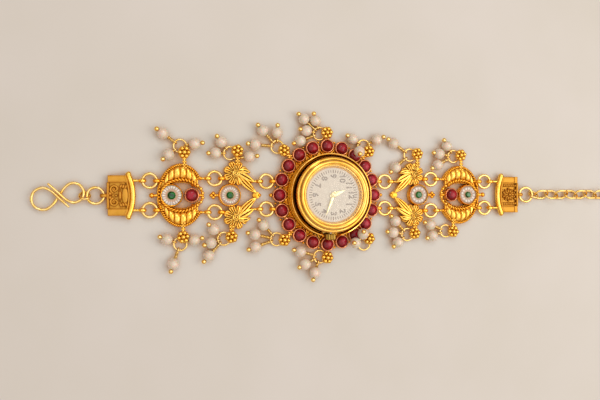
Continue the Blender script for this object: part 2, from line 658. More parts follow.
def polar(angle):
    return tuple(turnPoint(stations["headR"], angle))[:2]


def lotusSide(a, b):
    return stations["lotusX"] * a, stations["lotusY"] * b


def crescentSide(a, b):
    return stations["crescentX"] * a, stations["crescentB"] * b


def resting(heading, reachShare, ringAngle=None):
    run = reachShare * dropSizes["reach"] - dropSizes["ringMidR"]
    lift = math.degrees(math.asin((dropSizes["pearlR"] + dropSizes["clear"] - flatZ["drop"]) / run))
    return heading if ringAngle is None else ringAngle, heading, lift, reachShare


clusters = {
    "head_top": (polar(90), 187,
                 [resting(140, 1.53), resting(110, 0.98), resting(170, 1.02), resting(201, 1.53)]),
    "head_top_left": (polar(135), 150, [resting(134, 1.52), resting(175, 1.6), resting(92, 1.0)]),
    "head_bottom_left": (polar(-135), 175, [resting(134, 1.38), resting(167, 1.62), resting(198, 1.62)]),
    "head_bottom": (polar(-90), 173, [resting(165, 1.5), resting(204, 1.22), resting(250, 1.2)]),
    "head_top_right": (polar(45), 128, [resting(152, 1.02), (195, 238, 66, 1.45), resting(25, 1.06)]),
    "head_bottom_right": (polar(-45), -128, [(110, 124, 66, 1.45), (170, 174, 60, 1.34)]),
    "lotus_top_left": (lotusSide(-0.982, 2.03), 200, [resting(130, 1.0), resting(181, 1.05),
                                                    resting(6, 1.49, -52)]),
    "lotus_bottom_left": (lotusSide(-1.048, -1.89), 195,
                          [resting(138, 1.0), resting(196, 0.98), resting(227, 1.55)]),
    "crescent_top_left": (crescentSide(-0.979, 1.35), 120,
                          [resting(145, 1.4), resting(218, 1.02), resting(8, 1.0)]),
    "crescent_bottom_left": (crescentSide(-0.988, -1.3), -110,
                             [resting(160, 1.0), resting(250, 1.42), resting(15, 1.0)]),
    "lotus_top_right": (lotusSide(1.054, 1.99), 190, [resting(148, 1.56), resting(218, 1.5)]),
    "lotus_bottom_right": (lotusSide(1.02, -1.86), 190,
                           [resting(135, 1.4), resting(172, 1.18), resting(215, 1.0)]),
    "crescent_top_right": (crescentSide(1.01, 1.36), 190,
                           [resting(128, 1.0), resting(172, 1.22), resting(206, 1.5)]),
    "crescent_bottom_right": (crescentSide(0.948, -1.26), 175, [resting(160, 1.38), resting(197, 1.18)]),
}


def stationFlowers(shape, station, side, rootY):
    for name, (origin, heading, _) in clusters.items():
        if name.startswith(station) and name.endswith(side):
            root = (origin[0], math.copysign(rootY, origin[1]), flatZ["flower"] + 0.42)
            addBallFlower(shape, origin, heading, root)


# Flower ring of the watch head

headRing = {"circleR": 16.6, "count": 20, "cupR": 2.3, "stoneR": 1.98, "cupTop": 2.65, "innerR": 13.13,
            "collarR": 2.12, "collarWire": 0.15, "collarBeads": 26, "collarBeadR": 0.14, "collarLow": 0.22,
            "scrollR": 15.05, "finialR": 0.65, "finialX": 19.36, "eyeX": 18.65, "pierceTop": 1.05,
            "lipWide": 0.55, "lipRise": 0.25, "scrollGap": 3.1, "scrollKnobR": 0.46, "rimKnobR": 0.42,
            "innerKnobR": 0.3, "innerKnobGap": 4.5}


def buildFlowerRing():
    spec = headRing
    shape = newShape()
    low, top = flatZ["plateLow"], flatZ["plateTop"]
    inner, circle = spec["innerR"], spec["circleR"]
    turned(shape, [(inner, low), (circle, low), (circle, spec["pierceTop"]), (inner, spec["pierceTop"])], 120)
    lip, lipTop = inner + spec["lipWide"], top + spec["lipRise"]
    rim = [(inner, low + 0.05), (lip, low + 0.05), (lip, top), (lip - 0.2, lipTop), (inner, lipTop)]
    turned(shape, rim, 120)
    cupR, edge, bore = spec["cupR"], spec["cupTop"], spec["stoneR"]
    wall = [(0, low), (cupR - 0.1, low), (cupR, low + 0.15), (cupR - 0.06, flatZ["castTop"]),
            (cupR - 0.04, edge - 0.2), (cupR - 0.12, edge - 0.06), (bore, edge - 0.06), (bore, top), (0, top)]
    for i in range(spec["count"]):
        angle = 360 / spec["count"] * i
        turned(shape, wall, 32, Matrix.Translation(turnPoint(circle, angle)))
        # a small scroll and bead in the gap between two cups
        gap = angle + 180 / spec["count"]
        for turn in (-spec["scrollGap"], spec["scrollGap"]):
            arm = [turnPoint(inner + 0.3, gap + turn * 1.35, top),
                   turnPoint(inner + 1.0, gap + turn, top + 0.25),
                   turnPoint(spec["scrollR"] - 0.1, gap + turn * 0.35, top + 0.3)]
            tube(shape, arm, [0.26, 0.3, 0.22], 8)
        bead(shape, turnPoint(spec["scrollR"] + 0.1, gap, top + 0.3), spec["scrollKnobR"], 10)
        bead(shape, turnPoint(circle + 1.35, gap, top - 0.15), spec["rimKnobR"], 10)
        for turn in (-spec["innerKnobGap"], 0, spec["innerKnobGap"]):
            bead(shape, turnPoint(inner + 0.75, angle + turn, top + 0.2), spec["innerKnobR"], 10)
    for sign in (1, -1):
        for y in (eyes["rowY"][1], -eyes["rowY"][1]):
            linkEye(shape, sign * spec["eyeX"], y, sign * (spec["eyeX"] - eyes["midR"] * 2))
        bead(shape, (sign * spec["finialX"], 0, flatZ["link"]), spec["finialR"], 16)
    finishPiece("flower_ring_cast", shape, castGilt, "watch_head", ["flower_ring"])
    shape = newShape()
    rootShare = (circle + spec["cupR"] * 0.1) / stations["headR"]
    for name, (origin, heading, _) in clusters.items():
        if name.startswith("head"):
            addBallFlower(shape, origin, heading, (origin[0] * rootShare, origin[1] * rootShare, top))
    finishPiece("flower_ring_granules", shape, brightGilt, "watch_head")
    shape = newShape()
    for i in range(spec["count"]):
        addCollar(shape, turnPoint(circle, 360 / spec["count"] * i), spec["cupTop"], 5 * i)
    finishPiece("ruby_collars", shape, roseGilt, "watch_head")


def addCollar(shape, centre, top, turn):
    # a thin peach ring on the cup's edge, with a row of fine granules under it
    spec = headRing
    hoop(shape, (centre.x, centre.y, top - 0.02), spec["collarR"], spec["collarWire"], steps=32, sides=8)
    for k in range(spec["collarBeads"]):
        spot = turnPoint(spec["cupR"] - 0.02, 360 / spec["collarBeads"] * k + turn, top - spec["collarLow"])
        bead(shape, Vector((centre.x, centre.y, 0)) + spot, spec["collarBeadR"], 6)


rubies = {"r": 1.95, "girdle": 0.95, "dome": 1.15, "rings": 9, "steps": 32}


def addCabochon(shape, x, y, z):
    spec = rubies
    before = len(shape["points"])
    profile = [(0, z), (spec["r"] - 0.08, z), (spec["r"], z + 0.1)]
    for k in range(spec["rings"] + 1):
        t = math.radians(90 * k / spec["rings"])
        profile.append((spec["r"] * math.cos(t), z + spec["girdle"] + spec["dome"] * math.sin(t)))
    turned(shape, profile, spec["steps"], Matrix.Translation((x, y, 0)))
    tone = grain.uniform(0.0, 1.0)
    lit = turnPoint(0.5, 20)        # the lit patch lies a little towards the light
    for px, py, _ in shape["points"][before:]:
        shape.setdefault("rim", []).append(math.hypot(px - x - lit.x, py - y - lit.y) / spec["r"])
        shape.setdefault("shade", []).append(tone)


def buildRubies():
    shape = newShape()
    for i in range(headRing["count"]):
        spot = turnPoint(headRing["circleR"], 360 / headRing["count"] * i)
        addCabochon(shape, spot.x, spot.y, flatZ["plateTop"])
    finishPiece("ruby_cabochons", shape, rubyGlass, "watch_head", ["ruby_stones"])


buildFlowerRing()
buildRubies()
print("flower ring and rubies built")

# Holder and bezel

holder = {"boreR": 12.6, "wallR": 13.1, "foot": 0.15, "rimR": 13.85, "rimTop": 7.8, "rimLow": 7.25,
          "neckZ": 6.65, "notchZ": 3.6, "notchHalf": 3.1, "steps": 144}


def buildHolder():
    spec = holder
    shape = newShape()
    bore, wall, rim = spec["boreR"], spec["wallR"], spec["rimR"]
    foot, neck, low, top = spec["foot"], spec["neckZ"], spec["rimLow"], spec["rimTop"]
    profile = [(bore, foot), (wall, foot), (wall, 2.0), (wall, neck - 0.25), (wall + 0.12, neck + 0.1),
               (rim - 0.2, low - 0.05), (rim, low + 0.12), (rim, top - 0.15), (rim - 0.08, top - 0.03),
               (rim - 0.2, top), (rim - 0.36, top - 0.06), (rim - 0.46, top - 0.25), (wall - 0.05, neck + 0.25),
               (bore + 0.1, neck - 0.1), (bore, neck - 0.3), (bore, 2.0)]
    edge = math.degrees(math.asin(spec["notchHalf"] / (wall + 0.3)))
    angles = [360 / spec["steps"] * i for i in range(spec["steps"])]
    angles = [a for a in angles if abs(a - 270) > edge + 0.2 or abs(a - 270) < edge - 0.2]
    angles += [270 - edge, 270 - edge + 0.05, 270 + edge - 0.05, 270 + edge]
    rings = []
    for angle in sorted(angles):
        inNotch = abs(angle - 270) < edge - 0.01
        ring = []
        for r, z in profile:
            if inNotch and z > spec["notchZ"]:
                r, z = min(r, wall), spec["notchZ"]
            ring.append(turnPoint(r, angle, z))
        rings.append(ring)
    skin(shape, rings, True)
    finishPiece("holder_collar", shape, spunGilt, "watch_head", ["watch_holder"], 30)


bezelShape = {"outerR": 12.5, "boreR": 9.73, "low": 8.2, "rollR": 0.62, "rollZ": 9.15, "steps": 128,
              "groove": [(11.52, 9.62), (11.42, 9.66), (11.36, 9.8)], "ridgeR": 10.78, "ridgeZ": 10.2,
              "ridgeRoll": 0.66,
              "inside": [(10.26, 10.74), (10.2, 10.9), (10.08, 10.98), (9.94, 10.95), (9.83, 10.8),
                         (9.83, 10.45), (9.55, 10.45), (9.5, 10.3), (9.05, 9.4), (8.97, 9.2), (8.95, 9.15),
                         (9.73, 9.15)]}


def arcPoints(r, z, radius, start, end, steps=8):
    return [(r + radius * math.cos(math.radians(start + (end - start) * i / steps)),
             z + radius * math.sin(math.radians(start + (end - start) * i / steps))) for i in range(steps + 1)]


def buildBezel():
    spec = bezelShape
    shape = newShape()
    roll = spec["rollR"]
    low, outer = spec["low"], spec["outerR"]
    profile = [(spec["boreR"], low), (outer - 0.06, low), (outer, low + 0.06)]
    profile += arcPoints(outer - roll, spec["rollZ"], roll, 0, 118) + spec["groove"]
    profile += arcPoints(spec["ridgeR"], spec["ridgeZ"], spec["ridgeRoll"], 20, 128) + spec["inside"]
    turned(shape, profile, spec["steps"])
    finishPiece("bezel_turned", shape, polishedGilt, "watch_head", ["bezel"], 30)


buildHolder()
buildBezel()
print("holder and bezel built")

# Dial: silvered plate, minute track and plain hour numerals; 12 o'clock points to +X

dialPlan = {"r": 9.7, "low": 8.75, "top": 9.15, "holeR": 0.45, "trackR": 7.75, "tickLong": 1.05,
            "tickShort": 0.9, "tickWide": 0.2, "hourWide": 0.24, "inkT": 0.03, "numeralR": 6.2,
            "numeralSize": 2.75, "stroke": 0.08}


def buildDial():
    spec = dialPlan
    shape = newShape()
    r, hole, low, top = spec["r"], spec["holeR"], spec["low"], spec["top"]
    turned(shape, [(hole, low), (r - 0.05, low), (r, low + 0.05), (r, top), (hole, top)], 96)
    finishPiece("dial_plate", shape, dialPaint, "watch_head", ["dial"])
    shape = newShape()
    for i in range(60):
        hour = i % 5 == 0
        half = (spec["tickLong"] if hour else spec["tickShort"]) / 2
        wide = (spec["hourWide"] if hour else spec["tickWide"]) / 2
        place = Matrix.Rotation(math.radians(6 * i), 2)
        corners = [(-half, -wide), (half, -wide), (half, wide), (-half, wide)]
        outline = [tuple(place @ (Vector(c) + Vector((spec["trackR"], 0)))) for c in corners]
        slab(shape, outline, spec["top"] - 0.02, spec["top"] + spec["inkT"], 0.01)
    finishPiece("dial_minute_track", shape, dialInk, "watch_head")
    shape = newShape()
    for hour in range(1, 13):
        text = bpy.data.curves.new("numeral", "FONT")
        text.body = str(hour)
        text.size = spec["numeralSize"] * mm
        text.align_x = "CENTER"
        text.align_y = "CENTER"
        text.fill_mode = "NONE"
        text.bevel_depth = spec["stroke"] * mm
        text.bevel_resolution = 1
        text.resolution_u = 3
        sign = bpy.data.objects.new("numeral", text)
        scene.collection.objects.link(sign)
        spot = turnPoint(spec["numeralR"], -30 * hour, spec["top"]) * mm
        letter = bpy.data.meshes.new_from_object(sign.evaluated_get(bpy.context.evaluated_depsgraph_get()))
        letter.transform(Matrix.Translation(spot) @ Matrix.Rotation(math.radians(-90), 4, "Z")
                         @ Matrix.Diagonal((1, 1, 0.6, 1)))
        base = len(shape["points"])
        shape["points"] += [tuple(vert.co / mm) for vert in letter.vertices]
        shape["faces"] += [[base + v for v in face.vertices] for face in letter.polygons]
        bpy.data.objects.remove(sign)
        bpy.data.curves.remove(text)
        bpy.data.meshes.remove(letter)
    finishPiece("dial_numerals", shape, dialInk, "watch_head")


hands = {"minuteLength": 7.2, "minuteWide": 0.84, "minuteTurn": -111.6, "minuteZ": 9.72,
         "hourLength": 4.1, "hourWide": 1.25, "hourTurn": -339.3, "hourZ": 9.40, "thick": 0.12,
         "hubR": 0.78, "tail": 1.2, "capR": 0.8, "capTop": 10.14}


def addHand(shape, length, wide, turn, z, boreR):
    # a lancet with a raised ridge along its middle
    place = Matrix.Rotation(math.radians(turn), 4, "Z")
    stationsAlong = [(-hands["tail"], wide * 0.3), (0, wide * 0.45), (length * 0.35, wide * 0.5),
                     (length * 0.75, wide * 0.26), (length, 0.04)]
    rings = []
    for x, half in stationsAlong:
        rings.append([place @ Vector((x, y, zz)) for y, zz in
                      ((-half, z), (half, z), (half, z + 0.06), (0, z + hands["thick"]), (-half, z + 0.06))])
    skin(shape, rings)
    hubR, top = hands["hubR"], z + hands["thick"]
    turned(shape, [(boreR, z - 0.2), (boreR + 0.2, z - 0.2), (boreR + 0.2, z), (hubR, z), (hubR, z + 0.08),
                   (hubR - 0.1, top), (boreR, top)], 32)


def buildHands():
    shape = newShape()
    addHand(shape, hands["hourLength"], hands["hourWide"], hands["hourTurn"], hands["hourZ"], 0.6)
    finishPiece("hour_hand_gilt", shape, handGilt, "hour_hand", ["hour_hand"])
    shape = newShape()
    addHand(shape, hands["minuteLength"], hands["minuteWide"], hands["minuteTurn"], hands["minuteZ"], 0.35)
    top = hands["minuteZ"] + hands["thick"]
    capR, capTop = hands["capR"], hands["capTop"]
    turned(shape, [(0, top), (capR - 0.05, top), (capR, top + 0.05), (capR, top + 0.12),
                   (capR - 0.12, top + 0.2), (0.45, top + 0.2), (0.38, capTop - 0.05), (0.3, capTop),
                   (0, capTop)], 32)
    finishPiece("minute_hand_gilt", shape, handGilt, "minute_hand", ["minute_hand"])


crownShape = {"r": 1.8, "back": -12.85, "z": 5.75, "flutes": 18, "depth": 0.2,
              # each row's distance from the case, its share of the radius and of the flutes' depth
              "rows": [(0.0, 0.72, 0), (0.0, 0.9, 0), (0.15, 0.97, 0.5), (0.3, 1.0, 1), (1.75, 1.0, 1),
                       (1.95, 0.97, 0.5), (2.1, 0.86, 0), (2.17, 0.6, 0), (2.2, 0.25, 0)]}


def buildCrown():
    spec = crownShape
    shape = newShape()
    sides = spec["flutes"] * 6
    rings = []
    for out, share, flute in spec["rows"]:
        ring = []
        for k in range(sides):
            angle = math.tau * k / sides
            dip = spec["depth"] * flute * (0.5 - 0.5 * math.cos(angle * spec["flutes"])) ** 1.5
            r = spec["r"] * share - dip
            ring.append(Vector((r * math.cos(angle), spec["back"] - out, spec["z"] + r * math.sin(angle))))
        rings.append(ring)
    skin(shape, rings)
    finishPiece("crown_fluted", shape, knurledGilt, "crown", ["crown"], 50)


buildDial()
buildHands()
buildCrown()
for node, finish in (("case_middle", polishedGilt), ("case_back", brushedSteel), ("crystal", mineralGlass),
                     ("movement", nickelPlate), ("movement_holder", mouldedAcetal), ("battery", brushedSteel),
                     ("winding_stem", nickelPlate)):
    keepNode(node, finish)
print("dial, hands and crown built")

# Jump rings: bent wire with a fine cut that faces its neighbour

jumpRings = {"midR": 2.25, "wireR": 0.48, "cut": 7, "rowX": {1: 20.9, 2: 38.1, 3: 58.9}}


def buildJumpRings(number, side):
    sign = -1 if side == "left" else 1
    x, y, cut = jumpRings["rowX"][number], eyes["rowY"][number], jumpRings["cut"]
    shape = newShape()
    for row in (1, -1):
        face = 180 + grain.uniform(-25, 25)
        hoop(shape, (sign * x, row * y, flatZ["link"]), jumpRings["midR"], jumpRings["wireR"],
             start=face + cut / 2, sweep=360 - cut, sides=16, steps=56)
    node = "jump_rings_%d_%s" % (number, side)
    finishPiece(node + "_wire", shape, wireGilt, "rings_%d_%s" % (number, side), [node])


for side in ("left", "right"):
    for number in (1, 2, 3):
        buildJumpRings(number, side)
print("jump rings bent")

# Lotus station

lotus = {"flowerX": stations["lotusX"], "flowerY": stations["lotusY"], "petals": 8, "petalRoot": 1.1,
         "petalTip": 4.12, "petalWide": 1.17, "petalTop": 2.0, "tipX": 24.3, "tipY": 0.6, "leafWide": 1.25,
         "sideLeafWide": 1.05, "enamelX": 33.2, "enamelR": 3.3, "beadX": 38.6, "beadR": 0.62,
         "beadSpread": 0.66, "innerEyeX": 23.15, "outerEyeX": 35.85, "bossR": 2.75, "bossTop": 1.7,
         "rootY": 9.92, "tipR": 1.2, "tipBeadR": 0.65, "tipBeadOut": 1.04,
         "tipStemR": 0.36, "beadStemR": 0.45, "curlR": 1.12, "curlWireR": 0.24,
         # the hoops on a flower's heart: height, middle radius, wire radius, steps
         "heartHoops": ((2.5, 0.98, 0.19, 28), (2.55, 0.46, 0.2, 20))}
seat = {"reach": 0.43, "rise": 0.95}        # the cup wall round an enamel flower or a stone


def addPetal(shape, x, y, angle):
    # a spoon shaped petal: narrow at the root, round at the tip, with two veins sunk in it
    spec = lotus
    spine, widths = [], []
    for i in range(15):
        t = i / 14
        r = spec["petalRoot"] + (spec["petalTip"] - spec["petalRoot"]) * t
        spine.append(Vector((x, y, 0.22 * math.sin(math.pi * min(1, t * 1.1)) - 0.2 * t)) + turnPoint(r, angle))
        share = 0.36 + 0.64 * (t / 0.7) ** 0.9 if t < 0.7 else math.sqrt(max(0.0, 1 - ((t - 0.7) / 0.3) ** 2))
        widths.append(spec["petalWide"] * share * grain.uniform(0.98, 1.02))
    groovedLeaf(shape, spine, widths, flatZ["castLow"], spec["petalTop"], (-0.4, 0.4))


def addCurl(shape, x, y, angle):
    # one petal rolled up to a round scroll
    spec = lotus
    spot = turnPoint((spec["petalRoot"] + spec["petalTip"]) / 2 + 0.2, angle)
    centre = Vector((x + spot.x, y + spot.y, 0))
    turned(shape, [(0, flatZ["castLow"]), (1.25, flatZ["castLow"]), (1.3, 1.9), (1.2, 2.15), (0, 2.1)], 24,
           Matrix.Translation(centre))
    curl = [centre + turnPoint(spec["curlR"] - 0.95 * k / 30, angle + 180 + 24 * k, 2.3) for k in range(31)]
    tube(shape, curl, [spec["curlWireR"] - 0.08 * k / 30 for k in range(31)], 8)


def addLongLeaf(shape, start, middle, end, halfWidth, grooves):
    spine = bend((*start, 0.1), (*middle, 0.35), (*end, 0.0), 16)
    widths = [halfWidth * math.sin(math.pi * (0.14 + 0.86 * i / 16)) ** 0.7 for i in range(16)] + [0.05]
    groovedLeaf(shape, spine, widths, flatZ["castLow"], lotus["petalTop"] + 0.1, grooves, 0.46, 0.13)


def addSeat(shape, x, radius):
    # a thin cup wall round an enamel flower or a stone
    low, top = flatZ["castTop"] - 0.2, flatZ["castTop"] + seat["rise"]
    turned(shape, [(radius + 0.03, low), (radius + seat["reach"], low), (radius + 0.42, top - 0.6),
                   (radius + 0.3, top - 0.2), (radius + 0.14, top - 0.06), (radius + 0.03, top - 0.1)], 48,
           Matrix.Translation((x, 0, 0)))


def buildLotus(side):
    # the frame, and the petals and leaves that are burnished on it
    spec = lotus
    shape, petals = newShape(), newShape()
    z = flatZ["link"]
    seatR = spec["enamelR"] + seat["reach"]
    slab(shape, ovalOutline(spec["enamelX"], 0, seatR, seatR, 0, 48), flatZ["castLow"], flatZ["castTop"], 0.1)
    addSeat(shape, spec["enamelX"], spec["enamelR"])
    tip = ovalOutline(spec["tipX"], 0, spec["tipR"], spec["tipR"], 0, 24)
    slab(shape, tip, flatZ["castLow"], flatZ["castTop"], 0.2)
    for sign in (1, -1):
        y = sign * spec["flowerY"]
        x = spec["flowerX"]
        boss = ovalOutline(x, y, spec["bossR"], spec["bossR"], 0, 32)
        slab(shape, boss, flatZ["castLow"], spec["bossTop"], 0.15)
        for i in range(spec["petals"]):
            angle = sign * (360 / spec["petals"] * (i + 0.5) - 180)
            if i == 0:        # the side of the long leaves
                continue
            if side == "right" and sign > 0 and i == 5:
                addCurl(petals, x, y, angle)
            else:
                addPetal(petals, x, y, angle)
        addLongLeaf(petals, (x - 0.9, y - sign * 0.5), (x - 3.2, sign * 3.6),
                    (spec["tipX"] - 0.1, sign * spec["tipY"]), spec["leafWide"], (-0.4, 0.34))
        addLongLeaf(petals, (x - 1.0, y + sign * 0.1), (x - 3.4, sign * 6.0), (spec["tipX"] + 0.6, sign * 4.3),
                    spec["sideLeafWide"], (0,))
        addLongLeaf(petals, (x - 0.9, y + sign * 0.8), (x - 3.2, sign * 8.4), (x - 4.9, sign * 7.3),
                    spec["sideLeafWide"] * 0.8, (0,))
        bossTop = spec["bossTop"]
        turned(petals, [(0, bossTop), (1.25, bossTop), (1.2, 2.25), (1.05, 2.4), (0, 2.3)], 28,
               Matrix.Translation((x, y, 0)))
        for height, midR, wireR, steps in spec["heartHoops"]:
            hoop(petals, (x, y, height), midR, wireR, steps=steps, sides=8)
        bead(shape, (spec["beadX"], sign * spec["beadSpread"], z), spec["beadR"], 14)
        bead(shape, (spec["beadX"] + sign * spec["beadSpread"], 0, z), spec["beadR"], 14)
        linkEye(petals, spec["innerEyeX"], sign * eyes["rowY"][1], spec["innerEyeX"] + 3.8)
        linkEye(shape, spec["outerEyeX"], sign * eyes["rowY"][2], spec["outerEyeX"] - 1.9)
    tipBead = (spec["tipX"] - spec["tipBeadOut"], 0, z)
    bead(shape, tipBead, spec["tipBeadR"], 14)
    tube(shape, [(spec["tipX"], 0, z), tipBead], spec["tipStemR"], 10)
    stem = [(spec["enamelX"] + spec["enamelR"], 0, z), (spec["beadX"] - spec["beadSpread"], 0, z)]
    tube(shape, stem, spec["beadStemR"], 10)
    finishPiece("lotus_cast_" + side, shape, castGilt, "lotus_" + side, ["lotus_frame_" + side],
                flip=side == "left")
    if side == "left":
        mirrorX(petals)
    stationFlowers(petals, "lotus", side, spec["rootY"])
    finishPiece("lotus_flowers_" + side, petals, brightGilt, "lotus_" + side)


enamelFlower = {"petals": {"left": 20, "right": 13}, "thick": 0.78, "holeR": 0.66, "rayDepth": 0.2,
                "lotus_left": {"heart": 1.75, "rays": 2.7, "stoneR": 1.2},
                "lotus_right": {"heart": 1.7, "rays": 2.75, "stoneR": 1.22},
                "crescent_left": {"heart": 2.0, "rays": 3.1, "stoneR": 1.32},
                "crescent_right": {"heart": 1.65, "rays": 2.7, "stoneR": 1.12}}


def buildEnamel(x, radius, side, station):
    # a ring of rays, with a smooth heart that lies lower and a peach margin outside it
    spec = enamelFlower
    body = "%s_%s" % (station, side)
    shape = newShape()
    low, top = flatZ["castTop"], flatZ["castTop"] + spec["thick"]
    petals = spec["petals"][side]
    sides = petals * 8
    kind = spec[body]
    heart, rays, hole = kind["heart"], kind["rays"], spec["holeR"]
    rows = [(radius - 0.02, low, 0), (radius - 0.02, top - 0.35, 0), (rays + 0.06, top - 0.25, 0),
            (rays, top - 0.1, 0.5), (rays - 0.12, top + 0.04, 1), (rays - 0.4, top + 0.08, 1),
            (heart + 0.2, top - 0.06, 1), (heart, top - 0.2, 0), (1.4, top - 0.28, 0), (hole, top - 0.26, 0),
            (hole, low, 0)]
    rings = []
    for r, z, ridge in rows:
        ring = []
        for k in range(sides):
            angle = 360 * k / sides
            crest = abs(math.cos(math.radians(angle * petals / 2))) ** 0.5
            ring.append(Vector((x, 0, 0)) + turnPoint(r, angle, z - ridge * spec["rayDepth"] * (1 - crest)))
        rings.append(ring)
    skin(shape, rings, True)
    for px, py, pz in shape["points"]:
        r = math.hypot(px - x, py)
        crest = abs(math.cos(math.atan2(py, px - x) * petals / 2)) ** 0.5
        shape.setdefault("rim", []).append(0.85 * (1 - crest) if pz > low + 0.1 and r > heart else 0.0)
        shape.setdefault("shade", []).append(1.0 if r < heart + 0.1 or r > rays + 0.03 else 0.0)
    finishPiece("%s_enamel_petals_%s" % (station, side), shape, whiteEnamel, body,
                ["%s_enamel_%s" % (station, side)], 60, side == "left")
    shape = newShape()
    place = Matrix.Translation((x, 0, 0))
    stone = kind["stoneR"]
    turned(shape, [(0, low), (0.63, low), (0.63, top - 0.12), (stone, top - 0.12), (stone, top + 0.08),
                   (stone * 0.62, top + 0.5), (0, top + 0.54)], 10, place)
    finishPiece("%s_green_cut_%s" % (station, side), shape, greenGlass, body,
                ["%s_green_stone_%s" % (station, side)], 20, side == "left", True)


# Crescent station

crescent = {"x": stations["crescentX"], "a": 7.65, "b": stations["crescentB"], "windowA": 6.2, "windowB": 4.2,
            "gapX": 43.6, "gapY": 5.4,
            "enamelX": 52.1, "enamelR": 3.25, "rubyX": 45.65, "arcR": 3.65, "beadX": 58.3, "beadR": 0.85,
            "ribs": 6, "lobeStart": 34, "lobeEnd": 140, "lobeRise": 0.9, "innerEyeX": 40.35, "outerEyeX": 56.65,
            "strands": 27, "strandR": 0.56, "strandLean": 48, "strandStart": 20, "strandSweep": 124,
            "gadroons": 15, "gadroonR": 0.84, "gadroonLean": -55, "gadroonStart": 20, "gadroonSweep": 132,
            "seeds": 24, "seedR": 0.26, "seedStart": 14, "seedSweep": 144, "tieY": 5.9, "tieR": 0.55,
            "leafR": 0.52, "arcWireR": 0.42, "arcBeads": 8, "arcBeadR": 0.6, "rimBeads": 8, "rimBeadR": 0.46}


def ellipsePoint(a, b, angle, z=0.0):
    t = math.radians(angle)
    return Vector((crescent["x"] + a * math.cos(t), b * math.sin(t), z))


def crescentOutline(sign):
    # the two ends of one lobe meet the opening that faces the head, and the far side of the window
    spec = crescent
    outerEnd = 180 - math.degrees(math.asin(spec["gapY"] / spec["b"]))
    innerEnd = 180 - math.degrees(math.acos((spec["x"] - spec["gapX"]) / spec["windowA"]))
    points = [ellipsePoint(spec["a"], spec["b"], outerEnd * i / 36) for i in range(37)]
    points.append(Vector((spec["gapX"], spec["gapY"], 0)))
    points += [ellipsePoint(spec["windowA"], spec["windowB"], innerEnd * (1 - i / 24)) for i in range(25)]
    if sign < 0:
        points = [Vector((p.x, -p.y, 0)) for p in reversed(points)]
    return [(p.x, p.y) for p in points]


